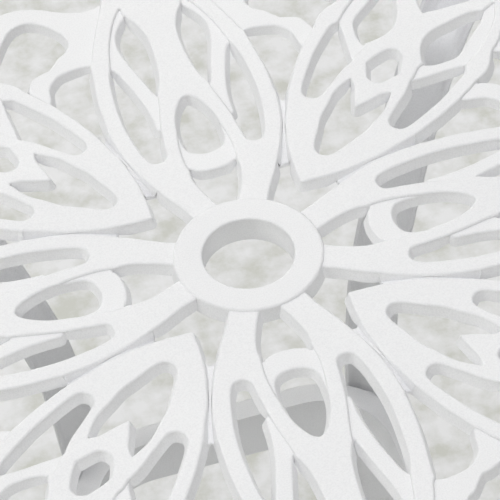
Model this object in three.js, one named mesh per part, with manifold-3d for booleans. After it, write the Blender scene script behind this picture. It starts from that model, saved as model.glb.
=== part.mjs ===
// Round cast-aluminium patio table with a pierced rosette top and an umbrella hole.
// Millimetres, +Z up. The origin is on the floor, under the middle of the umbrella hole.
// +X and +Y point along two of the four petals; the legs stand under the four leaves between them.

import * as THREE from 'three';
import { mergeVertices } from 'three/addons/utils/BufferGeometryUtils.js';
import Module from 'manifold-3d';

const wasm = await Module();
wasm.setup();

// Driving sizes of the whole table
const tableH = 670;
const topD = 600;
const topR = topD / 2;
const seatGap = 0.3;
const overrun = 2;
const smallFacets = 10;
const facets = 12;
const hubFacets = 32;
const roundFacets = 48;

// Hub and umbrella hole
const umbrellaHoleD = 40;
const hubWall = 12.6;
const hubRise = 1;
const hubH = 8;
const collarWall = 6.5;
const collarH = 6;
const hubEdge = 1.2;
const holeR = umbrellaHoleD / 2;
const hubR = holeR + hubWall;
const collarR = holeR + collarWall;

// Pierced plate, measured down from the face of the petals
const faceZ = tableH - hubRise;
const plateT = 6;
const stepDrop = 1;
const webDrop = 4.5;
const plateZ = faceZ - plateT;

// Band round the rosette, border of oblong openings, and the rim with its turned-down lip
const bandInnerShare = 0.76;
const bandOuterShare = 0.813;
const borderOuterShare = 0.907;
const bandInnerR = topR * bandInnerShare;
const bandOuterR = topR * bandOuterShare;
const borderOuterR = topR * borderOuterShare;
const borderCount = 16;
const borderWebShare = 0.16;
const rimBandW = 26;
const lipH = 20;
const lipT = 4.5;
const rimEdge = 3;

// Every point of the rosette is a share of the distance from the hub's centre to a petal's widest place
const petalReach = topR / 3;
const spanSteps = 1;
const webMiddleShare = 0.79;
const webHalfShare = 0.2;
const outlineSlack = 0.8;

// Leg: an open channel that follows one curved line from the top plate to the foot
const boltR = (bandInnerR + bandOuterR) / 2;
const bossH = 8;
const bossR = 8;
const boltSpread = 23;
const padT = 6;
const padW = 26;
const padEndR = 11;
const legW = 29;
const legRimW = 2.2;
const legEdge = 1.4;
const legBackW = 10;
const legDepth = 7.6;
const legShoulderW = 20;
const legShoulderDepth = 2.2;
const legTroughW = 14;
const legTroughDepth = 3.6;
const footR = 224;
const footBossR = 15;
const footBossH = 30;
const footEdge = 3;

// Brace: a rounded-square bar hoop inside the four legs
const braceDrop = 215;
const braceH = 32;
const braceBarW = 12.5;
const braceHalf = 90.5;
const braceCornerR = 50;
const braceCornerSteps = 6;
const braceReach = (braceHalf - braceCornerR) * Math.SQRT2 + braceCornerR;
const waistGap = 1.7;
const waistR = braceReach + waistGap;
const braceTopZ = faceZ - braceDrop;
const braceMidZ = braceTopZ - braceH / 2;
const braceBossR = 8;
const braceBossRise = 1.2;

// M6 fasteners
const boltShankR = 3;
const boltHoleR = 3.3;
const hexAcross = 10;
const headH = 4;
const washerOuterR = 6;
const washerT = 1.2;
const nutH = 5;
const nutDomeR = 4.6;
const nutDomeH = 3.6;
const topBoltIn = 7;

// Levelling glide: a nylon foot on a threaded stem
const glideR = 15;
const glideH = 10;
const glideEdge = 2;
const glideStemR = 3;
const glideStemHoleR = 3.3;
const glideStemL = 22;
const glideStemSpare = 2;
const legFootZ = glideH + seatGap;

// Outline points. A corner is marked by a third entry; the other points lie on one smooth curve.
const C = 'corner';

// On the axis of a petal: half outlines, mirrored on the axis
const hubWindowShares = [
  [0.30, 0], [0.30, 0.035, C], [0.338, 0.050], [0.38, 0.069], [0.456, 0.097], [0.52, 0.111],
  [0.584, 0.109, C], [0.566, 0.083], [0.556, 0.052], [0.55, 0],
];
const teardropShares = [
  [0.662, 0], [0.672, 0.047], [0.692, 0.079], [0.73, 0.094], [0.78, 0.098], [0.84, 0.0965],
  [0.903, 0.085], [0.962, 0.063], [1.012, 0.034], [1.036, 0],
];
const petalTipShares = [
  [1.73, 0, C], [1.80, 0.05], [1.88, 0.078], [1.96, 0.078], [2.05, 0.052], [2.16, 0, C],
];

// Beside the axis of a petal: whole outlines, drawn once on each side
const petalSlotShares = [
  [0.66, 0.234], [0.667, 0.256], [0.70, 0.275], [0.75, 0.291], [0.80, 0.301], [0.90, 0.317],
  [1.00, 0.323], [1.10, 0.321], [1.20, 0.314], [1.27, 0.304], [1.321, 0.288, C],
  [1.29, 0.267], [1.20, 0.238], [1.10, 0.211], [1.00, 0.192], [0.876, 0.185, C], [0.858, 0.169, C],
  [0.80, 0.174], [0.75, 0.180], [0.70, 0.184], [0.678, 0.190], [0.663, 0.210],
];
const almondShares = [
  [1.09, 0.127, C], [1.15, 0.148], [1.20, 0.160], [1.30, 0.188], [1.40, 0.213], [1.50, 0.218],
  [1.58, 0.190], [1.65, 0.140, C], [1.58, 0.103], [1.50, 0.080], [1.38, 0.074], [1.25, 0.083],
  [1.18, 0.094], [1.13, 0.110],
];
const gapShares = [
  [0.90, 0.422, C], [0.925, 0.403], [1.00, 0.402], [1.10, 0.402], [1.20, 0.394], [1.30, 0.383],
  [1.378, 0.376, C], [1.383, 0.426], [1.371, 0.493], [1.357, 0.531], [1.333, 0.556], [1.31, 0.576],
  [1.281, 0.588], [1.22, 0.595], [1.185, 0.605, C], [1.15, 0.583], [1.10, 0.552], [1.05, 0.521],
  [1.00, 0.496], [0.95, 0.469], [0.92, 0.455],
];
const lobeShares = [
  [1.293, 0.690, C], [1.335, 0.677], [1.38, 0.652], [1.403, 0.610], [1.416, 0.564, C],
  [1.446, 0.538], [1.481, 0.510], [1.515, 0.465], [1.565, 0.440], [1.63, 0.453], [1.695, 0.498],
  [1.743, 0.552], [1.764, 0.610], [1.743, 0.672], [1.69, 0.718], [1.625, 0.755], [1.555, 0.795],
  [1.485, 0.840], [1.433, 0.862, C], [1.415, 0.828], [1.398, 0.790], [1.376, 0.755], [1.35, 0.728],
];
const outerPetalShares = [
  [1.78, 0.226, C], [1.88, 0.186], [1.96, 0.157], [2.04, 0.129], [2.12, 0.104], [2.20, 0.083],
  [2.265, 0.072, C], [2.257, 0.277], [2.225, 0.473], [2.175, 0.665], [2.116, 0.833, C],
  [1.862, 0.727, C], [1.874, 0.66], [1.866, 0.58], [1.84, 0.505], [1.80, 0.435], [1.768, 0.365],
  [1.76, 0.29],
];
const outerLeafShares = [
  [1.557, 1.035, C], [1.58, 1.107], [1.612, 1.216], [1.637, 1.333], [1.658, 1.453],
  [1.672, 1.528, C], [1.793, 1.40], [1.908, 1.239], [2.009, 1.068], [2.086, 0.907, C],
  [1.832, 0.80, C], [1.76, 0.835], [1.685, 0.873], [1.625, 0.918], [1.585, 0.97],
];

// On the axis of a leaf
const diamondGapShares = [
  [0.298, 0], [0.298, 0.069, C], [0.334, 0.083], [0.393, 0.106], [0.448, 0.122], [0.506, 0.139],
  [0.552, 0.156, C], [0.585, 0.138], [0.597, 0.114, C], [0.558, 0.079], [0.508, 0.029],
  [0.487, 0.008, C], [0.484, 0],
];
const leafLensShares = [
  [0.675, 0], [0.682, 0.025], [0.704, 0.045], [0.735, 0.059], [0.776, 0.072], [0.83, 0.089],
  [0.883, 0.107], [0.97, 0.117], [1.049, 0.126], [1.101, 0.1195], [1.163, 0.104, C],
  [1.131, 0.071], [1.085, 0.047], [1.014, 0.008, C], [1.01, 0],
];
const leafDiamondShares = [
  [1.194, 0], [1.204, 0.033], [1.23, 0.051], [1.29, 0.082, C], [1.327, 0.073], [1.378, 0.053],
  [1.413, 0.034], [1.426, 0.011], [1.428, 0],
];
const leafTipShares = [
  [1.71, 0, C], [1.76, 0.05], [1.82, 0.105], [1.88, 0.155], [1.94, 0.18], [2.01, 0.165],
  [2.08, 0.125], [2.15, 0.07], [2.21, 0, C],
];

// Beside the axis of a leaf
const leafSlotShares = [
  [0.98, 0.195], [0.972, 0.214], [0.974, 0.243], [0.988, 0.261], [1.01, 0.273], [1.056, 0.288],
  [1.111, 0.303], [1.168, 0.317], [1.226, 0.330], [1.288, 0.338], [1.377, 0.347], [1.441, 0.349],
  [1.478, 0.329, C], [1.426, 0.279], [1.344, 0.212], [1.286, 0.163], [1.269, 0.154, C],
  [1.247, 0.159], [1.193, 0.168], [1.125, 0.170], [1.069, 0.1725], [1.027, 0.175], [1.001, 0.179],
];
const leafOuterShares = [
  [1.40, 0.156, C], [1.423, 0.196], [1.467, 0.236], [1.524, 0.270], [1.64, 0.270], [1.72, 0.266],
  [1.78, 0.266], [1.845, 0.251, C], [1.81, 0.202], [1.75, 0.163], [1.70, 0.138], [1.64, 0.105],
  [1.57, 0.086], [1.50, 0.096], [1.44, 0.127],
];

// Lowered stretches between the petals and leaves: their edges are the step lines
const crescentStepShares = [
  [0.52, 0], [0.52, 0.104, C], [0.584, 0.112], [0.63, 0.117], [0.70, 0.116], [0.77, 0.108],
  [0.82, 0.099, C], [0.82, 0],
];
const petalRailShares = [
  [0.870, 0.186, C], [0.857, 0.1685, C], [0.90, 0.161], [0.95, 0.151], [1.00, 0.140], [1.05, 0.130],
  [1.092, 0.1235, C], [1.14, 0.130, C], [1.30, 0.170], [1.50, 0.200], [1.64, 0.143, C],
  [1.71, 0.150, C], [1.65, 0.188], [1.55, 0.230], [1.457, 0.260], [1.38, 0.276],
  [1.318, 0.289, C], [1.29, 0.282], [1.20, 0.262], [1.10, 0.240], [1.00, 0.225],
];
const fieldShares = [
  [1.34, 0.42, C], [1.376, 0.377, C], [1.40, 0.363], [1.45, 0.349], [1.50, 0.332], [1.57, 0.306],
  [1.65, 0.276], [1.72, 0.248], [1.785, 0.224, C], [1.90, 0.30, C], [2.10, 0.75, C],
  [2.1136, 0.843, C], [2.0892, 0.8996, C], [2.03, 0.93, C], [1.66, 1.10, C], [1.56, 1.040, C],
  [1.538, 1.008], [1.485, 0.919], [1.433, 0.862, C], [1.44, 0.79, C], [1.38, 0.72, C],
  [1.300, 0.6985, C], [1.275, 0.678], [1.25, 0.656], [1.206, 0.625], [1.182, 0.602, C],
  [1.22, 0.57, C],
];
const leafRailShares = [
  [1.275, 0.165, C], [1.267, 0.153, C], [1.313, 0.1545], [1.357, 0.1465], [1.398, 0.153, C],
  [1.44, 0.19, C], [1.55, 0.25, C], [1.80, 0.245, C], [1.848, 0.25, C], [1.92, 0.27, C],
  [1.86, 0.302], [1.78, 0.326], [1.68, 0.338], [1.58, 0.340], [1.51, 0.334], [1.474, 0.330, C],
  [1.42, 0.295, C], [1.34, 0.225, C],
];

// Webs that tie the petals to the leaves, in two halves that meet where a web is highest
const innerWebShares = [
  [0.485, 0.31, C], [0.501, 0.280, C], [0.548, 0.303], [0.60, 0.326], [0.65, 0.344], [0.70, 0.361, C],
  [0.70, 0.376, C], [0.65, 0.365], [0.60, 0.354], [0.54, 0.345], [0.503, 0.342, C],
];
const outerWebShares = [
  [0.70, 0.361, C], [0.75, 0.375], [0.80, 0.385], [0.85, 0.393], [0.915, 0.401, C], [0.93, 0.43, C],
  [0.905, 0.449, C], [0.85, 0.429], [0.80, 0.411], [0.75, 0.391], [0.70, 0.376, C],
];

// Line of the leg's open edges: out from the waist and up to the plate, and out and down to the foot.
// First number: share of the way out from the waist. Second: share of the way up or down from it.
const upperLineShares = [
  [1.04, 1.0], [0.93, 0.995], [0.76, 0.977], [0.607, 0.93], [0.457, 0.846], [0.339, 0.755],
  [0.173, 0.583], [0.065, 0.432], [0.013, 0.23], [0.002, 0.06],
];
const lowerLineShares = [
  [0.0, 0.13], [0.02, 0.26], [0.10, 0.42], [0.25, 0.58], [0.46, 0.73], [0.70, 0.87], [0.92, 0.985],
];

// Closed mesh to solid and back
function toSolid(geometry) {
  const bare = geometry.index ? geometry.toNonIndexed() : geometry.clone();
  bare.deleteAttribute('normal');
  bare.deleteAttribute('uv');
  const merged = mergeVertices(bare);
  return new wasm.Manifold(new wasm.Mesh({
    numProp: 3,
    vertProperties: new Float32Array(merged.attributes.position.array),
    triVerts: new Uint32Array(merged.index.array),
  }));
}

function toGeometry(solid) {
  const mesh = solid.getMesh();
  const geometry = new THREE.BufferGeometry();
  geometry.setAttribute('position', new THREE.BufferAttribute(mesh.vertProperties, 3));
  geometry.setIndex(new THREE.BufferAttribute(mesh.triVerts, 1));
  return geometry;
}

// Outline helpers
function outline(points) {
  const start = Math.max(points.findIndex((p) => p[2] === C), 0);
  const loop = points.slice(start).concat(points.slice(0, start));
  const anyCorner = loop[0][2] === C;
  const runs = [[loop[0]]];
  for (const p of loop.slice(1)) {
    runs.at(-1).push(p);
    if (p[2] === C) runs.push([p]);
  }
  runs.at(-1).push(loop[0]);
  if (!anyCorner) {
    const ring = new THREE.CatmullRomCurve3(loop.map(([a, b]) => new THREE.Vector3(a, b, 0)), true);
    return ring.getPoints(loop.length * spanSteps).slice(0, -1).map((v) => new THREE.Vector2(v.x, v.y));
  }
  return runs.flatMap((run) => {
    const curve = new THREE.SplineCurve(run.map(([a, b]) => new THREE.Vector2(a, b)));
    return curve.getPoints((run.length - 1) * spanSteps).slice(0, -1);
  });
}

// Leaves out the points that stand less than the slack off a straight line between their neighbours
function thinned(points) {
  if (points.length < 3) return points;
  const first = points[0];
  const chord = points.at(-1).clone().sub(first);
  const off = points.map((v) => Math.abs(chord.cross(v.clone().sub(first))) / chord.length());
  const far = off.indexOf(Math.max(...off));
  if (off[far] < outlineSlack) return [first, points.at(-1)];
  return [...thinned(points.slice(0, far + 1)), ...thinned(points.slice(far)).slice(1)];
}

function thinnedRing(ring) {
  const reach = ring.map((v) => v.distanceTo(ring[0]));
  const far = reach.indexOf(Math.max(...reach));
  const there = thinned(ring.slice(0, far + 1));
  const back = thinned([...ring.slice(far), ring[0]]);
  return [...there.slice(0, -1), ...back.slice(0, -1)];
}

function mirrored(half) {
  const inner = half.filter(([, b]) => b > 0);
  return half.concat(inner.reverse().map(([a, b, mark]) => [a, -b, mark]));
}

function flipped(points) {
  return points.map(([a, b, mark]) => [a, -b, mark]).reverse();
}

// One outline in every place it has round the hub, as a list of rings in millimetres
function spread(shares, firstTurn, bothSides) {
  const drawings = bothSides ? [shares, flipped(shares)] : [mirrored(shares)];
  const rings = [];
  for (const drawing of drawings) {
    const ring = thinnedRing(outline(drawing).map((v) => v.multiplyScalar(petalReach)));
    for (let quarter = 0; quarter < 4; quarter += 1) {
      const turn = firstTurn + quarter * Math.PI / 2;
      rings.push(ring.map((v) => v.clone().rotateAround(new THREE.Vector2(), turn)));
    }
  }
  return rings;
}

const onPetal = 0;
const onLeaf = Math.PI / 4;

function extrudeRings(rings, depth, z) {
  return wasm.Manifold.union(rings.map((ring) => {
    const block = new THREE.ExtrudeGeometry(new THREE.Shape(ring), { depth, bevelEnabled: false });
    return toSolid(block.translate(0, 0, z));
  }));
}

// What is cut away above the webs: they fall from their middle to the openings at both ends
function webValleys(rings) {
  const middleR = petalReach * webMiddleShare;
  const halfL = petalReach * webHalfShare;
  return wasm.Manifold.union(rings.map((ring) => {
    const block = new THREE.ExtrudeGeometry(new THREE.Shape(ring), { depth: overrun, bevelEnabled: false });
    const spots = block.attributes.position;
    for (let i = 0; i < spots.count; i += 1) {
      const away = Math.abs(Math.hypot(spots.getX(i), spots.getY(i)) - middleR) / halfL;
      const drop = stepDrop + (webDrop - stepDrop) * Math.min(away, 1);
      if (spots.getZ(i) < overrun / 2) spots.setZ(i, -drop);
    }
    return toSolid(block.translate(0, 0, faceZ));
  }));
}

function borderOpening(index) {
  const pitch = 2 * Math.PI / borderCount;
  const middle = (index + 0.5) * pitch;
  const halfTurn = pitch * (1 - borderWebShare) / 2;
  const inR = bandOuterR;
  const outR = borderOuterR;
  const cornerTurn = halfTurn / 3;
  const cornerR = (outR - inR) / 3;
  const polar = (turn, r) => new THREE.Vector2(r * Math.cos(middle + turn), r * Math.sin(middle + turn));
  return [
    polar(-halfTurn, inR + cornerR), polar(-halfTurn + cornerTurn, inR),
    polar(halfTurn - cornerTurn, inR), polar(halfTurn, inR + cornerR), polar(halfTurn, outR - cornerR),
    polar(halfTurn - cornerTurn, outR), polar(-halfTurn + cornerTurn, outR),
    polar(-halfTurn, outR - cornerR),
  ];
}

// Turned body from a half profile of [radius, height] corners
function turned(profile, steps) {
  const points = profile.map(([r, z]) => new THREE.Vector2(r, z));
  if (profile[0][0] > 0) points.push(points[0].clone());
  return new THREE.LatheGeometry(points, steps).rotateX(Math.PI / 2);
}

function drum(r, z0, z1, steps = smallFacets) {
  return turned([[0, z0], [r, z0], [r, z1], [0, z1]], steps);
}

function hexPrism(across, z0, z1) {
  const r = across / Math.sqrt(3);
  return turned([[0, z0], [r, z0], [r, z1], [0, z1]], 6);
}

// The top: pierced plate, lowered stretches, rim with lip, hub with collar, and bosses for the legs
function tableTop() {
  const rimInnerR = topR - rimBandW;
  const plateR = topR - rimBandW / 2;
  const openings = [
    ...spread(hubWindowShares, onPetal, false), ...spread(teardropShares, onPetal, false),
    ...spread(petalTipShares, onPetal, false), ...spread(petalSlotShares, onPetal, true),
    ...spread(almondShares, onPetal, true), ...spread(gapShares, onPetal, true),
    ...spread(lobeShares, onPetal, true), ...spread(outerPetalShares, onPetal, true),
    ...spread(outerLeafShares, onPetal, true), ...spread(diamondGapShares, onLeaf, false),
    ...spread(leafLensShares, onLeaf, false), ...spread(leafDiamondShares, onLeaf, false),
    ...spread(leafTipShares, onLeaf, false), ...spread(leafSlotShares, onLeaf, true),
    ...spread(leafOuterShares, onLeaf, true),
  ];
  for (let i = 0; i < borderCount; i += 1) openings.push(borderOpening(i));
  let solid = toSolid(drum(plateR, plateZ, faceZ, roundFacets));
  solid = solid.subtract(extrudeRings(openings, plateT + 2 * overrun, plateZ - overrun));

  const lowered = [
    ...spread(crescentStepShares, onPetal, false), ...spread(petalRailShares, onPetal, true),
    ...spread(fieldShares, onPetal, true), ...spread(leafRailShares, onLeaf, true),
  ];
  solid = solid.subtract(extrudeRings(lowered, stepDrop + overrun, faceZ - stepDrop));
  const webs = [...spread(innerWebShares, onPetal, true), ...spread(outerWebShares, onPetal, true)];
  solid = solid.subtract(webValleys(webs));

  const rim = turned([
    [rimInnerR, plateZ], [topR - lipT, plateZ], [topR - lipT, faceZ - lipH],
    [topR - rimEdge / 2, faceZ - lipH], [topR, faceZ - lipH + rimEdge / 2], [topR, faceZ - rimEdge],
    [topR - rimEdge, faceZ], [rimInnerR, faceZ],
  ], roundFacets);
  solid = solid.add(toSolid(rim));

  const hub = turned([
    [0, plateZ - hubH + plateT + hubRise], [hubR - hubEdge, plateZ - hubH + plateT + hubRise],
    [hubR, plateZ - hubH + plateT + hubRise + hubEdge], [hubR, tableH - hubEdge],
    [hubR - hubEdge, tableH], [0, tableH],
  ], hubFacets);
  const hubUnderZ = plateZ - hubH + plateT + hubRise;
  const collar = drum(collarR, hubUnderZ - collarH, hubUnderZ + overrun, hubFacets);
  solid = solid.add(toSolid(hub)).add(toSolid(collar));
  solid = solid.subtract(toSolid(drum(holeR, hubUnderZ - collarH - overrun, tableH + overrun, hubFacets)));

  for (const place of legPlaces) {
    for (const side of [-1, 1]) {
      const boss = drum(bossR, plateZ - bossH, plateZ + overrun).translate(boltR, side * boltSpread, 0);
      solid = solid.add(toSolid(boss.rotateZ(place.turn)));
    }
  }
  for (const place of legPlaces) {
    for (const side of [-1, 1]) {
      const hole = drum(boltHoleR, plateZ - bossH - overrun, plateZ - bossH + topBoltIn + seatGap);
      solid = solid.subtract(toSolid(hole.translate(boltR, side * boltSpread, 0).rotateZ(place.turn)));
    }
  }
  return toGeometry(solid);
}

const legPlaces = [
  { name: 'ne', turn: Math.PI / 4 }, { name: 'nw', turn: 3 * Math.PI / 4 },
  { name: 'sw', turn: 5 * Math.PI / 4 }, { name: 'se', turn: 7 * Math.PI / 4 },
];

// A leg, drawn in the X-Z plane with the table's axis at X = 0
const padTopZ = plateZ - bossH - seatGap;
const padZ = padTopZ - padT;

function legLine() {
  const up = padTopZ - braceMidZ;
  const down = braceMidZ - legFootZ;
  const upper = upperLineShares.map(([out, rise]) => new THREE.Vector3(waistR + out * (boltR - waistR), 0,
    braceMidZ + rise * up));
  const lower = lowerLineShares.map(([out, fall]) => new THREE.Vector3(waistR + out * (footR - waistR), 0,
    braceMidZ - fall * down));
  return new THREE.CatmullRomCurve3([...upper, ...lower], false, 'centripetal');
}

// The line's own points as stations, and how far the back of the leg stands out beside the brace bolt
const legCurve = legLine();
const legStations = legCurve.points.length - 1;

function stationAt(t) {
  const p = legCurve.getPoint(t);
  const tangent = legCurve.getTangent(t);
  return { p, outward: new THREE.Vector3(-tangent.z, 0, tangent.x) };
}

const backSamples = 300;
let braceBossEnd = 0;
for (let i = 0; i <= backSamples; i += 1) {
  const { p, outward } = stationAt(i / backSamples);
  const back = p.clone().addScaledVector(outward, legDepth);
  if (Math.abs(back.z - braceMidZ) < braceBossR + washerT) {
    braceBossEnd = Math.max(braceBossEnd, back.x + braceBossRise);
  }
}

// Section of the shallow channel: across the leg, and outward from its open edges
const legSection = [
  [-legW / 2, 0], [-legW / 2, legEdge], [-legBackW / 2, legDepth], [legBackW / 2, legDepth],
  [legW / 2, legEdge], [legW / 2, 0], [legW / 2 - legRimW, 0], [legShoulderW / 2, legShoulderDepth],
  [legTroughW / 2, legTroughDepth], [-legTroughW / 2, legTroughDepth],
  [-legShoulderW / 2, legShoulderDepth], [legRimW - legW / 2, 0],
];

function channel() {
  const vertices = [];
  for (let i = 0; i <= legStations; i += 1) {
    const { p, outward } = stationAt(i / legStations);
    for (const [across, out] of legSection) {
      vertices.push(p.x + outward.x * out, across, p.z + outward.z * out);
    }
  }
  const n = legSection.length;
  const faces = [];
  for (let i = 0; i < legStations; i += 1) {
    for (let j = 0; j < n; j += 1) {
      const a = i * n + j;
      const b = i * n + (j + 1) % n;
      faces.push(a, a + n, b, b, a + n, b + n);
    }
  }
  const cap = THREE.ShapeUtils.triangulateShape(legSection.map(([a, b]) => new THREE.Vector2(a, b)), []);
  const last = legStations * n;
  for (const [a, b, c] of cap) faces.push(c, b, a, last + a, last + b, last + c);
  const geometry = new THREE.BufferGeometry();
  geometry.setAttribute('position', new THREE.Float32BufferAttribute(vertices, 3));
  geometry.setIndex(faces);
  return geometry;
}

function leg() {
  let solid = toSolid(channel());
  const half = boltSpread + padEndR;
  const pad = new THREE.Shape();
  pad.absarc(0, half - padW / 2, padW / 2, 0, Math.PI, false);
  pad.absarc(0, padW / 2 - half, padW / 2, Math.PI, 2 * Math.PI, false);
  const padPlate = new THREE.ExtrudeGeometry(pad, { depth: padT, bevelEnabled: false, curveSegments: facets / 2 });
  solid = solid.add(toSolid(padPlate.translate(boltR, 0, padZ)));
  const braceBoss = drum(braceBossR, braceReach + seatGap, braceBossEnd).rotateY(Math.PI / 2);
  solid = solid.add(toSolid(braceBoss.translate(0, 0, braceMidZ)));
  const foot = turned([
    [0, legFootZ], [footBossR - footEdge / 2, legFootZ], [footBossR, legFootZ + footEdge / 2],
    [footBossR, legFootZ + footBossH - footEdge], [footBossR - footEdge, legFootZ + footBossH],
    [0, legFootZ + footBossH],
  ], facets);
  solid = solid.add(toSolid(foot.translate(footR, 0, 0)));
  const cuts = [
    drum(boltHoleR, padZ - legDepth, padTopZ + overrun).translate(boltR, boltSpread, 0),
    drum(boltHoleR, padZ - legDepth, padTopZ + overrun).translate(boltR, -boltSpread, 0),
    drum(boltHoleR, 0, braceBossEnd + overrun).rotateY(Math.PI / 2).translate(0, 0, braceMidZ),
    drum(glideStemHoleR, legFootZ - overrun, glideH + glideStemL + glideStemSpare).translate(footR, 0, 0),
  ];
  for (const cut of cuts) solid = solid.subtract(toSolid(cut));
  return toGeometry(solid);
}

function roundedSquare(half, r) {
  const middle = half - r;
  const shape = new THREE.Shape();
  shape.absarc(middle, middle, r, 0, Math.PI / 2, false);
  shape.absarc(-middle, middle, r, Math.PI / 2, Math.PI, false);
  shape.absarc(-middle, -middle, r, Math.PI, 3 * Math.PI / 2, false);
  shape.absarc(middle, -middle, r, 3 * Math.PI / 2, 2 * Math.PI, false);
  return shape;
}

const spotfaceDepth = 1.8;
const spotfaceS = braceReach - braceBarW + spotfaceDepth;

function brace() {
  const hoop = roundedSquare(braceHalf, braceCornerR);
  hoop.holes = [roundedSquare(braceHalf - braceBarW, braceCornerR - braceBarW)];
  const bar = new THREE.ExtrudeGeometry(hoop, {
    depth: braceH, bevelEnabled: false, curveSegments: braceCornerSteps,
  });
  let solid = toSolid(bar.translate(0, 0, braceTopZ - braceH));
  for (const place of legPlaces) {
    const hole = drum(boltHoleR, 0, braceHalf * Math.SQRT2).rotateY(Math.PI / 2);
    const spotface = drum(washerOuterR + 2 * seatGap, braceHalf / 2, spotfaceS).rotateY(Math.PI / 2);
    for (const cut of [hole, spotface]) {
      solid = solid.subtract(toSolid(cut.translate(0, 0, braceMidZ).rotateZ(place.turn)));
    }
  }
  return toGeometry(solid);
}

// Fasteners, drawn upright with the underside of the head at height zero
function hexBolt(length) {
  const shank = drum(boltShankR, -headH / 2, length);
  return toGeometry(toSolid(shank).add(toSolid(hexPrism(hexAcross, -headH, 0))));
}

function washer() {
  return turned([
    [boltHoleR, 0], [washerOuterR, 0], [washerOuterR, washerT], [boltHoleR, washerT],
  ], smallFacets);
}

function domeNut() {
  const dome = turned([
    [0, 0], [nutDomeR, 0], [nutDomeR, nutH], [nutDomeR * Math.SQRT1_2, nutH + nutDomeH * Math.SQRT1_2],
    [0, nutH + nutDomeH],
  ], smallFacets);
  const body = toSolid(dome).add(toSolid(hexPrism(hexAcross, 0, nutH)));
  return toGeometry(body.subtract(toSolid(drum(boltHoleR, -overrun, nutH))));
}

function glide() {
  return turned([
    [0, 0], [glideR - glideEdge, 0], [glideR, glideEdge], [glideR, glideH - glideEdge / 2],
    [glideR - glideEdge / 2, glideH], [glideStemR, glideH], [glideStemR, glideH + glideStemL],
    [0, glideH + glideStemL],
  ], facets);
}

// Finishes
const whiteCoat = new THREE.MeshStandardMaterial({ color: 0xf0f1f2, roughness: 0.55, metalness: 0.1 });
const zinc = new THREE.MeshStandardMaterial({ color: 0xb9bcc0, roughness: 0.35, metalness: 0.9 });
const nylon = new THREE.MeshStandardMaterial({ color: 0xd8d8d5, roughness: 0.6, metalness: 0 });

function piece(name, geometry, material, place) {
  const mesh = new THREE.Mesh(geometry, material);
  mesh.name = name;
  if (place) {
    mesh.position.set(place[0], place[1], place[2]);
  }
  return mesh;
}

const table = new THREE.Group();
table.add(piece('table_top', tableTop(), whiteCoat));
table.add(piece('brace_ring', brace(), whiteCoat));

const legGeometry = leg();
const washerGeometry = washer();
const nutGeometry = domeNut();
const glideGeometry = glide();
const topWasherZ = padZ - seatGap - washerT;
const topBoltGeometry = hexBolt(plateZ - bossH + topBoltIn - topWasherZ + seatGap);
const nutS = braceBossEnd + seatGap + washerT;
const braceHeadS = spotfaceS - seatGap - washerT;
const braceBoltGeometry = hexBolt(nutS + nutH - seatGap - braceHeadS - seatGap);

for (const { name, turn } of legPlaces) {
  const corner = new THREE.Group();
  corner.rotation.z = turn;
  corner.add(piece(`leg_${name}`, legGeometry, whiteCoat));
  for (const [letter, side] of [['a', 1], ['b', -1]]) {
    const place = [boltR, side * boltSpread, topWasherZ];
    corner.add(piece(`top_washer_${name}_${letter}`, washerGeometry, zinc, place));
    const head = [boltR, side * boltSpread, topWasherZ - seatGap];
    corner.add(piece(`top_bolt_${name}_${letter}`, topBoltGeometry, zinc, head));
  }
  const lying = [
    [`brace_washer_${name}`, washerGeometry, zinc, braceHeadS],
    [`brace_bolt_${name}`, braceBoltGeometry, zinc, braceHeadS - seatGap],
    [`brace_nut_washer_${name}`, washerGeometry, zinc, braceBossEnd + seatGap],
    [`brace_nut_${name}`, nutGeometry, zinc, nutS + seatGap],
  ];
  for (const [label, geometry, material, s] of lying) {
    const mesh = piece(label, geometry, material, [s, 0, braceMidZ]);
    mesh.rotation.y = Math.PI / 2;
    corner.add(mesh);
  }
  corner.add(piece(`glide_${name}`, glideGeometry, nylon, [footR, 0, 0]));
  table.add(corner);
}

export default table;
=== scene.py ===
"""Round white cast patio table with a pierced rosette top and an umbrella hole."""

import math

import bmesh
import bpy
from mathutils import Matrix, Vector
from mathutils.geometry import delaunay_2d_cdt
from mathutils.kdtree import KDTree


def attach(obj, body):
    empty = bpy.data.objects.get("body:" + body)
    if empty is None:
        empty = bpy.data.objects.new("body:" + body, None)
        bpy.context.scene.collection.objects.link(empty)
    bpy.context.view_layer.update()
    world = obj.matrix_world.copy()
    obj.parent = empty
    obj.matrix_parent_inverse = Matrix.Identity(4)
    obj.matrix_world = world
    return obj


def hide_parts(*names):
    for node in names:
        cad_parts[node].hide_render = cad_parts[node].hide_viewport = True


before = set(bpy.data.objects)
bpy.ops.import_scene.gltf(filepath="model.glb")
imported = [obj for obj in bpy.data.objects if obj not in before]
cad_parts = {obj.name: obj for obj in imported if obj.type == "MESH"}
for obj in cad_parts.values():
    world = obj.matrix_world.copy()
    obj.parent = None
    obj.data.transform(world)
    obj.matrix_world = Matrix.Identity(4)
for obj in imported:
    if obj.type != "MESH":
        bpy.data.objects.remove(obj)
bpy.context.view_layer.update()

# ---------- sizes in metres, as in the CAD model ----------

CORNERS = {"ne": math.pi / 4, "nw": 3 * math.pi / 4, "sw": 5 * math.pi / 4, "se": 7 * math.pi / 4}
GAP = 0.0003  # play between pieces that are seated on each other

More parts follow.
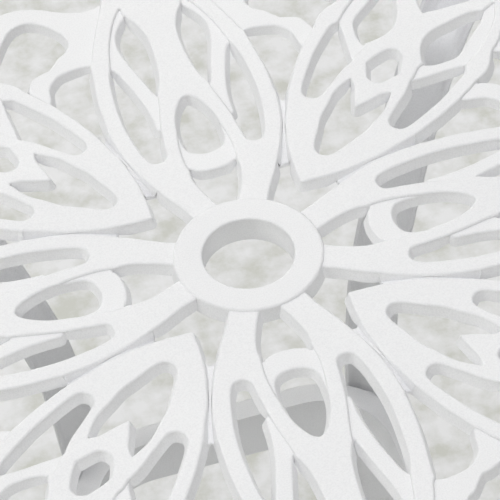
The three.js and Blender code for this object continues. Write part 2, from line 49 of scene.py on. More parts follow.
# the cast top
TABLE_H = 0.670
TOP_R = 0.300
HUB_RISE = 0.001
FACE_Z = TABLE_H - HUB_RISE
PLATE_T = 0.006
PLATE_Z = FACE_Z - PLATE_T
STEP = 0.001  # from the upper face down to the lowered one
HOLE_R = 0.020
HUB_R = 0.0326
HUB_UNDER = PLATE_Z - 0.001  # the hub ring is thicker than the plate
COLLAR_R = 0.0265
COLLAR_H = 0.006
COLLAR_UNDER = HUB_UNDER - COLLAR_H
BAND_IN = TOP_R * 0.76  # plain band between rosette and border
BAND_OUT = TOP_R * 0.813
BORDER_OUT = TOP_R * 0.907
BORDER_OPENINGS = 16
BORDER_WEB_SHARE = 0.16  # of the pitch of the border's openings
RIM_W = 0.026
RIM_IN = TOP_R - RIM_W
LIP_H = 0.020
LIP_T = 0.0045
REACH = 0.1  # unit of the rosette's outlines
WEB_MIDDLE = REACH * 0.79  # place of a web's highest point
WEB_HALF = REACH * 0.2
WEB_DROP = 0.0045  # from the upper face to a web's ends

# the legs, with the pads and bosses that they bolt to
BOLT_R = (BAND_IN + BAND_OUT) / 2
BOSS_H = 0.008
BOSS_R = 0.008
SPREAD = 0.023  # of each of a leg's two bolts from its middle
PAD_T = 0.006
PAD_W = 0.026
PAD_END = 0.011
PAD_TOP = PLATE_Z - BOSS_H - GAP
LEG_W = 0.029
LEG_D = 0.0076
LEG_BACK = 0.010  # flat outer side of the channel
LEG_EDGE = 0.0014
LEG_RIM = 0.0022  # flat edge along each side of the trough
LEG_SHOULDER = (0.010, 0.0022)
LEG_TROUGH = (0.007, 0.0036)
FOOT_S = 0.224  # from the table's middle
FOOT_R = 0.015
FOOT_H = 0.030

# the brace hoop
BRACE_TOP = FACE_Z - 0.215
BRACE_H = 0.032
BRACE_MID = BRACE_TOP - BRACE_H / 2
BRACE_BAR = 0.0125
BRACE_HALF = 0.0905  # from the middle to a flat side
BRACE_CORNER = 0.050
BRACE_REACH = (BRACE_HALF - BRACE_CORNER) * math.sqrt(2) + BRACE_CORNER
SPOTFACE_D = 0.0018
BRACE_SPOTFACE = BRACE_REACH - BRACE_BAR + SPOTFACE_D
WAIST_GAP = 0.0017
WAIST = BRACE_REACH + WAIST_GAP
BRACE_BOSS_R = 0.008
BRACE_BOSS_END = 0.11795

# fasteners and glides
SHANK_R = 0.003
PITCH = 0.001
HEX_ACROSS = 0.010
HEAD_H = 0.004
WASHER_IN = 0.0033
WASHER_OUT = 0.006
WASHER_T = 0.0012
NUT_H = 0.005
DOME_R = 0.0046
DOME_H = 0.0036
TOP_BOLT_IN = 0.007  # how far a bolt goes into its boss
GLIDE_R = 0.015
GLIDE_H = 0.010
GLIDE_EDGE = 0.002
GLIDE_TAPER = 0.001
GLIDE_STEM = 0.022
LEG_FOOT_Z = GLIDE_H + GAP

# ---------- sizes of what only the scene has: rounded edges, draft and thread ----------

EDGE_R = 0.0012
UNDER_R = 0.0006
WEB_R = 0.0005
ROUND_ROWS = (0.10, 0.35, 0.75, 1.25)  # millimetres in from an edge
DRAFT = 0.0016
WALL_LEAN = math.radians(20)  # of a wall's shading, with the rounding at its foot
WEB_HALF_W = 0.0018  # reach of the lean over a web
CORNER_COS = math.cos(math.radians(22))  # a line that bends more keeps a crisp wall
OUTLINE_STEP = 0.0013
LEG_STEP = 0.006
BORE_MARGIN = 0.004  # between the umbrella hole and the rosette's own hole
RIM_LAP = 0.0012  # of the rosette and the rim
BOSS_DRAFT = 0.001
PAD_EDGE = 0.0008
HEX_EDGE = 0.0006
BOLT_ROOT = 0.0026
STEM_ROOT = 0.00255
TIP_R = 0.0024
SUNK = 0.001  # how far one body runs into the next in the same piece
MM = 1000  # the rosette is worked out in millimetres


# ---------- materials ----------

def nodes_of(name):
    mat = bpy.data.materials.new(name)
    mat.use_nodes = True
    tree = mat.node_tree
    shader = tree.nodes["Principled BSDF"]
    coords = tree.nodes.new("ShaderNodeTexCoord")
    return mat, tree, shader, coords


def noise(tree, coords, scale, detail, rough):
    n = tree.nodes.new("ShaderNodeTexNoise")
    n.inputs["Scale"].default_value = scale
    n.inputs["Detail"].default_value = detail
    n.inputs["Roughness"].default_value = rough
    tree.links.new(coords.outputs["Object"], n.inputs["Vector"])
    return n.outputs["Fac"]


def ramp(tree, fac, stops):
    """Colour ramp over the factor. Each stop is a place and a colour."""
    r = tree.nodes.new("ShaderNodeValToRGB")
    while len(r.color_ramp.elements) < len(stops):
        r.color_ramp.elements.new(0.5)
    for element, (place, colour) in zip(r.color_ramp.elements, stops):
        element.position = place
        element.color = (*colour, 1)
    tree.links.new(fac, r.inputs["Fac"])
    return r.outputs["Color"]


def varied_roughness(tree, fac, low, high, shader):
    rough = tree.nodes.new("ShaderNodeMapRange")
    rough.inputs["To Min"].default_value = low
    rough.inputs["To Max"].default_value = high
    tree.links.new(fac, rough.inputs["Value"])
    tree.links.new(rough.outputs["Result"], shader.inputs["Roughness"])


def bump(tree, height, strength, distance, target):
    """Bump whose normal goes to the target socket."""
    b = tree.nodes.new("ShaderNodeBump")
    b.inputs["Strength"].default_value = strength
    b.inputs["Distance"].default_value = distance
    tree.links.new(height, b.inputs["Height"])
    tree.links.new(b.outputs["Normal"], target)
    return b


def powder_coat():
    """Sandy white powder coat: fine grain, a softer orange peel under it and faint clouding."""
    mat, tree, shader, coords = nodes_of("white_powder_coat")
    grain = noise(tree, coords, 1500, 2, 0.6)
    peel = noise(tree, coords, 260, 2, 0.5)
    cloud = noise(tree, coords, 14, 3, 0.6)
    tone = ramp(tree, cloud, [(0.3, (0.84, 0.843, 0.86)), (0.7, (0.868, 0.871, 0.886))])
    speck = ramp(tree, grain, [(0.32, (0.93, 0.93, 0.935)), (0.6, (1, 1, 1))])
    mix = tree.nodes.new("ShaderNodeMix")
    mix.data_type = "RGBA"
    mix.blend_type = "MULTIPLY"
    mix.inputs["Factor"].default_value = 1.0
    tree.links.new(tone, mix.inputs["A"])
    tree.links.new(speck, mix.inputs["B"])
    tree.links.new(mix.outputs["Result"], shader.inputs["Base Color"])
    varied_roughness(tree, grain, 0.5, 0.66, shader)
    sand = bump(tree, grain, 0.35, 0.0004, shader.inputs["Normal"])
    bump(tree, peel, 0.25, 0.0006, sand.inputs["Normal"])
    shader.inputs["Specular IOR Level"].default_value = 0.4
    return mat


def zinc():
    mat, tree, shader, coords = nodes_of("zinc_plate")
    spangle = noise(tree, coords, 400, 3, 0.6)
    tone = ramp(tree, spangle, [(0.3, (0.50, 0.51, 0.52)), (0.7, (0.66, 0.67, 0.68))])
    tree.links.new(tone, shader.inputs["Base Color"])
    varied_roughness(tree, spangle, 0.28, 0.45, shader)
    bump(tree, spangle, 0.12, 0.0002, shader.inputs["Normal"])
    shader.inputs["Metallic"].default_value = 1.0
    return mat


def nylon():
    mat, tree, shader, coords = nodes_of("moulded_nylon")
    grain = noise(tree, coords, 700, 2, 0.5)
    cloud = noise(tree, coords, 60, 3, 0.6)
    tone = ramp(tree, cloud, [(0.3, (0.60, 0.60, 0.58)), (0.7, (0.70, 0.70, 0.68))])
    tree.links.new(tone, shader.inputs["Base Color"])
    bump(tree, grain, 0.2, 0.0002, shader.inputs["Normal"])
    shader.inputs["Roughness"].default_value = 0.5
    return mat


COAT = powder_coat()
ZINC = zinc()
NYLON = nylon()


# ---------- curves ----------

def catmull(points, closed, step):
    """Centripetal Catmull-Rom line through the points, about one sample for each step of length."""
    pts = [Vector(p) for p in points]
    n = len(pts)
    spans = n if closed else n - 1
    out = []
    for i in range(spans):
        p1, p2 = pts[i], pts[(i + 1) % n]
        p0 = pts[(i - 1) % n] if closed or i > 0 else p1 * 2 - p2
        p3 = pts[(i + 2) % n] if closed or i + 2 < n else p2 * 2 - p1
        d0, d1, d2 = ((b - a).length ** 0.5 for a, b in ((p0, p1), (p1, p2), (p2, p3)))
        d0, d1, d2 = max(d0, 1e-6), max(d1, 1e-6), max(d2, 1e-6)
        m1 = ((p1 - p0) / d0 - (p2 - p0) / (d0 + d1) + (p2 - p1) / d1) * d1
        m2 = ((p2 - p1) / d1 - (p3 - p1) / (d1 + d2) + (p3 - p2) / d2) * d1
        count = max(1, round((p2 - p1).length / step))
        for k in range(count):
            t = k / count
            t2, t3 = t * t, t * t * t
            out.append(p1 * (2 * t3 - 3 * t2 + 1) + m1 * (t3 - 2 * t2 + t)
                       + p2 * (3 * t2 - 2 * t3) + m2 * (t3 - t2))
    if not closed:
        out.append(pts[-1])
    return out


def outline(points):
    """Closed ring through the points, smooth but for the corners, which have a third entry."""
    marks = [len(p) > 2 for p in points]
    flat = [Vector((p[0] * REACH, p[1] * REACH)) for p in points]
    if not any(marks):
        return catmull(flat, True, OUTLINE_STEP)
    s = marks.index(True)
    flat = flat[s:] + flat[:s]
    marks = marks[s:] + marks[:s]
    ring, run = [], [flat[0]]
    for p, m in zip(flat[1:] + flat[:1], marks[1:] + [True]):
        run.append(p)
        if m:
            ring += catmull(run, False, OUTLINE_STEP)[:-1]
            run = [p]
    return ring


def mirrored(half):
    """Whole outline from the half on one side of the axis."""
    back = [(p[0], -p[1], *p[2:]) for p in reversed(half) if p[1] > 0]
    return half + back


def flipped(points):
    """Mirror image of an outline across the axis."""
    return [(p[0], -p[1], *p[2:]) for p in reversed(points)]


def spread(shares, turn0, both):
    """The outline four times round the hub, in metres, as a half to complete or with its image."""
    rings = []
    for drawing in ([shares, flipped(shares)] if both else [mirrored(shares)]):
        ring = outline(drawing)
        for q in range(4):
            rot = Matrix.Rotation(turn0 + q * math.pi / 2, 2)
            rings.append([rot @ v for v in ring])
    return rings


# ---------- the rosette's outlines, in shares of REACH, with C at a corner ----------

C = 1
PETAL, LEAF = 0.0, math.pi / 4  # turn of the first axis of each

# openings, along and across a petal's axis
HUB_WINDOW = [
    (0.30, 0), (0.30, 0.035, C), (0.338, 0.050), (0.38, 0.069), (0.456, 0.097), (0.52, 0.111),
    (0.584, 0.109, C), (0.566, 0.083), (0.556, 0.052), (0.55, 0)]
TEARDROP = [
    (0.662, 0), (0.672, 0.047), (0.692, 0.079), (0.73, 0.094), (0.78, 0.098), (0.84, 0.0965),
    (0.903, 0.085), (0.962, 0.063), (1.012, 0.034), (1.031, 0.014), (1.036, 0)]
PETAL_TIP = [(1.73, 0, C), (1.80, 0.05), (1.88, 0.078), (1.96, 0.078), (2.05, 0.052), (2.16, 0, C)]
PETAL_SLOT = [
    (0.66, 0.234), (0.667, 0.256), (0.70, 0.275), (0.75, 0.291), (0.80, 0.301), (0.90, 0.317),
    (1.00, 0.323), (1.10, 0.321), (1.20, 0.314), (1.27, 0.304), (1.321, 0.288, C), (1.29, 0.267),
    (1.20, 0.238), (1.10, 0.211), (1.00, 0.192), (0.876, 0.185, C), (0.858, 0.169, C),
    (0.80, 0.174), (0.75, 0.180), (0.70, 0.184), (0.678, 0.190), (0.663, 0.210)]
ALMOND = [
    (1.09, 0.127, C), (1.15, 0.148), (1.20, 0.160), (1.30, 0.188), (1.40, 0.213), (1.50, 0.218),
    (1.58, 0.190), (1.65, 0.140, C), (1.58, 0.103), (1.50, 0.080), (1.38, 0.074), (1.25, 0.083),
    (1.18, 0.094), (1.13, 0.110)]
GAP_PL = [
    (0.90, 0.422, C), (0.925, 0.403), (1.00, 0.402), (1.10, 0.402), (1.20, 0.394), (1.30, 0.383),
    (1.378, 0.376, C), (1.383, 0.426), (1.371, 0.493), (1.357, 0.531), (1.333, 0.556),
    (1.31, 0.576), (1.281, 0.588), (1.22, 0.595), (1.185, 0.605, C), (1.15, 0.583), (1.10, 0.552),
    (1.05, 0.521), (1.00, 0.496), (0.95, 0.469), (0.92, 0.455)]
LOBE = [
    (1.293, 0.690, C), (1.335, 0.677), (1.38, 0.652), (1.403, 0.610), (1.416, 0.564, C),
    (1.446, 0.538), (1.481, 0.510), (1.515, 0.465), (1.565, 0.440), (1.63, 0.453), (1.695, 0.498),
    (1.743, 0.552), (1.764, 0.610), (1.743, 0.672), (1.69, 0.718), (1.625, 0.755), (1.555, 0.795),
    (1.485, 0.840), (1.433, 0.862, C), (1.415, 0.828), (1.398, 0.790), (1.376, 0.755),
    (1.35, 0.728)]
OUTER_PETAL = [
    (1.78, 0.226, C), (1.88, 0.186), (1.96, 0.157), (2.04, 0.129), (2.12, 0.104), (2.20, 0.083),
    (2.265, 0.072, C), (2.257, 0.277), (2.225, 0.473), (2.175, 0.665), (2.116, 0.833, C),
    (1.862, 0.727, C), (1.874, 0.66), (1.866, 0.58), (1.84, 0.505), (1.80, 0.435), (1.768, 0.365),
    (1.76, 0.29)]
OUTER_LEAF = [
    (1.557, 1.035, C), (1.58, 1.107), (1.612, 1.216), (1.637, 1.333), (1.658, 1.453),
    (1.672, 1.528, C), (1.793, 1.40), (1.908, 1.239), (2.009, 1.068), (2.086, 0.907, C),
    (1.832, 0.80, C), (1.76, 0.835), (1.685, 0.873), (1.625, 0.918), (1.585, 0.97)]
# openings, along and across a leaf's axis
DIAMOND_GAP = [
    (0.298, 0), (0.298, 0.069, C), (0.334, 0.083), (0.393, 0.106), (0.448, 0.122), (0.506, 0.139),
    (0.552, 0.156, C), (0.585, 0.138), (0.597, 0.114, C), (0.558, 0.079), (0.508, 0.029),
    (0.487, 0.008, C), (0.484, 0)]
LENS = [
    (0.675, 0), (0.682, 0.025), (0.704, 0.045), (0.735, 0.059), (0.776, 0.072), (0.83, 0.089),
    (0.883, 0.107), (0.97, 0.117), (1.049, 0.126), (1.101, 0.1195), (1.163, 0.104, C),
    (1.131, 0.071), (1.085, 0.047), (1.014, 0.008, C), (1.01, 0)]
LEAF_DIAMOND = [
    (1.194, 0), (1.204, 0.033), (1.23, 0.051), (1.29, 0.082, C), (1.327, 0.073), (1.378, 0.053),
    (1.413, 0.034), (1.426, 0.011), (1.428, 0)]
LEAF_TIP = [
    (1.71, 0, C), (1.76, 0.05), (1.82, 0.105), (1.88, 0.155), (1.94, 0.18), (2.01, 0.165),
    (2.08, 0.125), (2.15, 0.07), (2.21, 0, C)]
LEAF_SLOT = [
    (0.98, 0.195), (0.972, 0.214), (0.974, 0.243), (0.988, 0.261), (1.01, 0.273), (1.056, 0.288),
    (1.111, 0.303), (1.168, 0.317), (1.226, 0.330), (1.288, 0.338), (1.377, 0.347), (1.441, 0.349),
    (1.478, 0.329, C), (1.426, 0.279), (1.344, 0.212), (1.286, 0.163), (1.269, 0.154, C),
    (1.247, 0.159), (1.193, 0.168), (1.125, 0.170), (1.069, 0.1725), (1.027, 0.175), (1.001, 0.179)]
LEAF_OUTER = [
    (1.40, 0.156, C), (1.423, 0.196), (1.467, 0.236), (1.524, 0.270), (1.64, 0.270), (1.72, 0.266),
    (1.78, 0.266), (1.845, 0.251, C), (1.81, 0.202), (1.75, 0.163), (1.70, 0.138), (1.64, 0.105),
    (1.57, 0.086), (1.50, 0.096), (1.44, 0.127)]

# lowered faces, and the web between a petal and a leaf
CRESCENT_STEP = [
    (0.52, 0), (0.52, 0.104, C), (0.584, 0.112), (0.63, 0.117), (0.70, 0.116), (0.77, 0.108),
    (0.82, 0.099, C), (0.82, 0)]
PETAL_RAIL = [
    (0.870, 0.186, C), (0.857, 0.1685, C), (0.90, 0.161), (0.95, 0.151), (1.00, 0.140),
    (1.05, 0.130), (1.092, 0.1235, C), (1.14, 0.130, C), (1.30, 0.170), (1.50, 0.200),
    (1.64, 0.143, C), (1.71, 0.150, C), (1.65, 0.188), (1.55, 0.230), (1.457, 0.260), (1.38, 0.276),
    (1.318, 0.289, C), (1.29, 0.282), (1.20, 0.262), (1.10, 0.240), (1.00, 0.225)]
WEB = [
    (0.485, 0.31, C), (0.501, 0.280, C), (0.548, 0.303), (0.60, 0.326), (0.65, 0.344),
    (0.70, 0.361), (0.75, 0.375), (0.80, 0.385), (0.85, 0.393), (0.915, 0.401, C), (0.93, 0.43, C),
    (0.905, 0.449, C), (0.85, 0.429), (0.80, 0.411), (0.75, 0.391), (0.70, 0.376), (0.65, 0.365),
    (0.60, 0.354), (0.54, 0.345), (0.503, 0.342, C)]
FIELD = [
    (1.34, 0.42, C), (1.376, 0.377, C), (1.40, 0.363), (1.45, 0.349), (1.50, 0.332), (1.57, 0.306),
    (1.65, 0.276), (1.72, 0.248), (1.785, 0.224, C), (1.90, 0.30, C), (2.10, 0.75, C),
    (2.1136, 0.843, C), (2.0892, 0.8996, C), (2.03, 0.93, C), (1.66, 1.10, C), (1.56, 1.040, C),
    (1.538, 1.008), (1.485, 0.919), (1.433, 0.862, C), (1.44, 0.79, C), (1.38, 0.72, C),
    (1.300, 0.6985, C), (1.275, 0.678), (1.25, 0.656), (1.206, 0.625), (1.182, 0.602, C),
    (1.22, 0.57, C)]
LEAF_RAIL = [
    (1.275, 0.165, C), (1.267, 0.153, C), (1.313, 0.1545), (1.357, 0.1465), (1.398, 0.153, C),
    (1.44, 0.19, C), (1.55, 0.25, C), (1.80, 0.245, C), (1.848, 0.25, C), (1.92, 0.27, C),
    (1.86, 0.302), (1.78, 0.326), (1.68, 0.338), (1.58, 0.340), (1.51, 0.334), (1.474, 0.330, C),
    (1.42, 0.295, C), (1.34, 0.225, C)]


def border_opening(i):
    """Long opening of the border, with a quarter round at each corner."""
    pitch = 2 * math.pi / BORDER_OPENINGS
    mid = (i + 0.5) * pitch
    half = pitch * (1 - BORDER_WEB_SHARE) / 2
    corner_turn, corner_r = half / 3, (BORDER_OUT - BAND_OUT) / 3
    ends = [(-half, BAND_OUT + corner_r), (-half + corner_turn, BAND_OUT),
            (half - corner_turn, BAND_OUT), (half, BAND_OUT + corner_r),
            (half, BORDER_OUT - corner_r), (half - corner_turn, BORDER_OUT),
            (-half + corner_turn, BORDER_OUT), (-half, BORDER_OUT - corner_r)]
    ring = []
    for k, (turn, r) in enumerate(ends):
        next_turn, next_r = ends[(k + 1) % len(ends)]
        steps = 12 if k in (1, 5) else 5
        for s in range(steps):
            along = s / steps
            share_turn = share_r = along
            if k % 2 == 0:
                share_turn = 1 - math.cos(along * math.pi / 2)
                share_r = math.sin(along * math.pi / 2)
            if k in (2, 6):
                share_turn, share_r = share_r, share_turn
            at = turn + (next_turn - turn) * share_turn
            far = r + (next_r - r) * share_r
            ring.append(Vector((far * math.cos(mid + at), far * math.sin(mid + at))))
    return ring


# ---------- mesh helpers ----------

ON_AXIS = 1e-7
LYING = Matrix.Rotation(math.pi / 2, 4, "Y")


def new_object(name, bm, material, angle=35):
    """Object from a finished bmesh, smooth except at edges sharper than the angle."""
    bmesh.ops.recalc_face_normals(bm, faces=bm.faces)
    mesh = bpy.data.meshes.new(name)
    bm.to_mesh(mesh)
    bm.free()
    mesh.shade_smooth()
    mesh.set_sharp_from_angle(angle=math.radians(angle))
    obj = bpy.data.objects.new(name, mesh)
    bpy.context.scene.collection.objects.link(obj)
    mesh.materials.append(material)
    return obj


def weighted(obj):
    modifier = obj.modifiers.new("normals", "WEIGHTED_NORMAL")
    modifier.keep_sharp = True
    modifier.weight = 60


def skin(bm, rows, closed=False):
    """Quads from each ring of vertices to the next. The last meets the first, or both get caps."""
    n = len(rows[0])
    for a, b in zip(rows, rows[1:] + rows[:1] if closed else rows[1:]):
        for j in range(n):
            bm.faces.new([a[j], a[(j + 1) % n], b[(j + 1) % n], b[j]])
    if not closed:
        bm.faces.new(rows[0][::-1])
        bm.faces.new(rows[-1])


def lathe(bm, profile, steps, place=Matrix()):
    """Closed turned body about Z. The profile is [r, z] corners, counterclockwise."""
    rings = []
    for r, z in profile:
        turns = [2 * math.pi * k / steps for k in range(steps if r > ON_AXIS else 1)]
        rings.append([bm.verts.new(place @ Vector((r * math.cos(t), r * math.sin(t), z)))
                      for t in turns])
    pairs = list(zip(rings, rings[1:]))
    if profile[0][0] > ON_AXIS:
        pairs.append((rings[-1], rings[0]))
    for a, b in pairs:
        for k in range(steps):
            k2 = (k + 1) % steps
            quad = [a[k % len(a)], a[k2 % len(a)], b[k2 % len(b)], b[k % len(b)]]
            quad = list(dict.fromkeys(quad))
            if len(quad) > 2:
                bm.faces.new(quad)


def rounded(profile, radius, segments=4):
    """Rounds the corners of a profile that is closed, or that starts and ends on the axis.

    The radius is one number, or a list with one for each corner.
    """
    most = 0.48  # of a side's length, so that two roundings fit on it
    radii = radius if isinstance(radius, list) else [radius] * len(profile)
    ends = (0, len(profile) - 1) if profile[0][0] < ON_AXIS else ()
    out = []
    for i, (p, r) in enumerate(zip(profile, radii)):
        if r <= 0 or i in ends:
            out.append(tuple(p))
            continue
        p = Vector(p)
        a, b = Vector(profile[i - 1]) - p, Vector(profile[(i + 1) % len(profile)]) - p
        to_a, to_b = a.normalized(), b.normalized()
        reach = min(r / math.tan(to_a.angle(to_b) / 2), a.length * most, b.length * most)
        p0, p1 = p + to_a * reach, p + to_b * reach
        for k in range(segments + 1):
            f = k / segments
            out.append(tuple(p0 * (1 - f) ** 2 + p * 2 * f * (1 - f) + p1 * f ** 2))
    return out


def prism(bm, ring, z0, z1, edge, place, segments=3):
    """Upright slab of a ring, with its top and bottom edges rounded."""
    turns = [k / segments * math.pi / 2 for k in range(segments + 1)]
    levels = [(edge * (1 - math.sin(t)), z0 + edge * (1 - math.cos(t))) for t in turns]
    levels += [(edge * (1 - math.cos(t)), z1 - edge * (1 - math.sin(t))) for t in turns]
    outward = []
    for i, p in enumerate(ring):
        before = (p - ring[i - 1]).normalized()
        after = (ring[(i + 1) % len(ring)] - p).normalized()
        both = Vector((before.y + after.y, -before.x - after.x))
        outward.append(both.normalized() / max(0.5, both.length / 2))
    skin(bm, [[bm.verts.new(place @ Vector((*(p - o * inset), z))) for p, o in zip(ring, outward)]
              for inset, z in levels])


# ---------- the cast top ----------

# each outline, where it stands, and whether its mirror image stands there too
OPENINGS = [
    (HUB_WINDOW, PETAL, False), (TEARDROP, PETAL, False), (PETAL_TIP, PETAL, False),
    (PETAL_SLOT, PETAL, True), (ALMOND, PETAL, True), (GAP_PL, PETAL, True), (LOBE, PETAL, True),
    (OUTER_PETAL, PETAL, True), (OUTER_LEAF, PETAL, True), (DIAMOND_GAP, LEAF, False),
    (LENS, LEAF, False), (LEAF_DIAMOND, LEAF, False), (LEAF_TIP, LEAF, False),
    (LEAF_SLOT, LEAF, True), (LEAF_OUTER, LEAF, True)]
LOWERED = [
    (CRESCENT_STEP, PETAL, False), (PETAL_RAIL, PETAL, True), (FIELD, PETAL, True),
    (LEAF_RAIL, LEAF, True)]
WEBS = [(WEB, PETAL, True)]

SAMPLE = 0.25  # millimetres between the samples of a boundary line
MERGE = 0.02  # millimetres within which the triangulation joins points
WEB_STRAIGHT = 0.4  # share of a web's fall that is even; the rest steepens to the ends
FACES_UP = "bwlu"  # underside, web, lowered face and upper face, from below


def circle(radius, count):
    turns = [2 * math.pi * k / count for k in range(count)]
    return [Vector((math.cos(t), math.sin(t))) * radius for t in turns]


def area(ring):
    return sum(a.x * b.y - b.x * a.y for a, b in zip(ring, ring[1:] + ring[:1])) / 2


def drop(distance, radius):
    """How far a rounded edge lies below its face, that far in from the edge."""
    if distance >= radius:
        return 0.0
    return radius - math.sqrt(max(0.0, radius ** 2 - (radius - distance) ** 2))


class Edges:
    """Boundary lines with the region on their left, the way into it, and distances from them."""

    def __init__(self, pairs, points):
        self.points = points
        self.inward = {}
        self.own = {}
        for a, b in pairs:
            d = (points[b] - points[a]).normalized()
            n = Vector((-d.y, d.x))
            self.own[a, b] = n
            for i in (a, b):
                self.inward[i] = self.inward.get(i, Vector((0, 0))) + n
        for i in self.inward:
            self.inward[i].normalize()
        samples = []
        for a, b in pairs:
            count = max(1, math.ceil((points[b] - points[a]).length / SAMPLE))
            samples += [points[a].lerp(points[b], k / count) for k in range(count + 1)]
        self.tree = KDTree(len(samples))
        for i, v in enumerate(samples):
            self.tree.insert((v.x, v.y, 0), i)
        self.tree.balance()

    def wall_normal(self, i, pair):
        """Outward shading normal of a line's wall at one of its ends. Corners stay crisp."""
        own = self.own[pair]
        return -own if own.dot(self.inward[i]) < CORNER_COS else -self.inward[i]

    def nearest(self, v):
        spot, _, distance = self.tree.find((v.x, v.y, 0))
        return distance, Vector((v.x - spot.x, v.y - spot.y))

    def inset(self, i):
        """How far point i lies from the lines, and which way is off them."""
        if i in self.inward:
            return 0.0, self.inward[i]
        return self.nearest(self.points[i])

    def drafts(self, reach):
        """How far each point of the lines can lean out without meeting another line."""
        free = {}
        for i, n in self.inward.items():
            steps = (reach * k / 10 for k in range(10, 0, -1))
            free[i] = next((d for d in steps
                            if self.nearest(self.points[i] - n * d)[0] > 0.9 * d), 0.0)
        for _ in range(3):
            # neighbours lean by nearly the same
            for a, b in self.own:
                free[a], free[b] = (min(free[a], free[b] + reach / 4),
                                    min(free[b], free[a] + reach / 4))
        return free

    def offsets(self, distances):
        """Points at these distances inward from the lines, where no other line is closer."""
        out = []
        for i, n in self.inward.items():
            for d in distances:
                v = self.points[i] + n * d
                if self.nearest(v)[0] > 0.93 * d:
                    out.append(v)
        return out


def web_face(v):
    """Height of a web's face and its shading normal. It falls from its middle to both ends."""
    away = (v.length - WEB_MIDDLE * MM) / (WEB_HALF * MM)
    share = min(abs(away), 1.0)
    fall = (WEB_DROP - STEP) * MM
    z = (FACE_Z - STEP) * MM - fall * share * (WEB_STRAIGHT + (1 - WEB_STRAIGHT) * share)
    slope = fall * (WEB_STRAIGHT + 2 * (1 - WEB_STRAIGHT) * share) / (WEB_HALF * MM)
    out = v.normalized() * math.copysign(slope, away)
    return z, Vector((out.x, out.y, 1)).normalized()


def web_lean(foot, i, z):
    """How far a point of a web moves in over it, as the foot of the walls beside it does."""
    distance, off = foot.inset(i)
    lean = (FACE_Z * MM - z) * DRAFT / PLATE_T
    return off.normalized() * lean * max(0.0, 1 - distance / (WEB_HALF_W * MM))


def spread_all(drawings):
    return [ring for drawing in drawings for ring in spread(*drawing)]


def plate_rings():
    """Rings that cut the plate, counterclockwise, and where the lowered ones and the webs start."""
    outer = [circle(RIM_IN + RIM_LAP, 240), circle(HOLE_R + BORE_MARGIN, 64)]
    outer += spread_all(OPENINGS) + [border_opening(i) for i in range(BORDER_OPENINGS)]
    lowered = spread_all(LOWERED)
    rings = []
    for ring in outer + lowered + spread_all(WEBS):
        ring = [v * MM for v in ring]
        rings.append(ring if area(ring) > 0 else ring[::-1])
    return rings, len(outer), len(outer) + len(lowered)


def regions(rings, extra, first_lowered, first_web):
    """Triangles of the plate with their face, the face left of each side, and boundary lines.

    The lines are those of the upper face (u), of the openings along the lowered face (l), a web
    (w) and the underside (b), and of the walls that stand beside a web (wall).
    """
    verts, faces = [], []
    for ring in rings:
        faces.append(list(range(len(verts), len(verts) + len(ring))))
        verts += ring
    points, _, tris, _, _, owners = delaunay_2d_cdt(verts + extra, [], faces, 0, MERGE)
    level = {}
    for tri, own in zip(tris, owners):
        own = set(own)
        if 0 in own and not any(1 <= o < first_lowered for o in own):
            top = max(own)
            level[tuple(tri)] = "w" if top >= first_web else "l" if top >= first_lowered else "u"
    sides = {}
    for tri, lv in level.items():
        for a, b in zip(tri, tri[1:] + tri[:1]):
            sides[a, b] = lv
    lines = {kind: [] for kind in ("u", "l", "w", "b", "wall")}
    for side, lv in sides.items():
        across = sides.get(side[::-1])
        if lv == "u" and across != "u":
            lines["u"].append(side)
        elif lv != "u" and across is None:
            lines[lv].append(side)
        elif lv == "w" and across != "w":
            lines["wall"].append(side)
        if across is None:
            lines["b"].append(side)
    return points, level, sides, {kind: Edges(pairs, points) for kind, pairs in lines.items()}


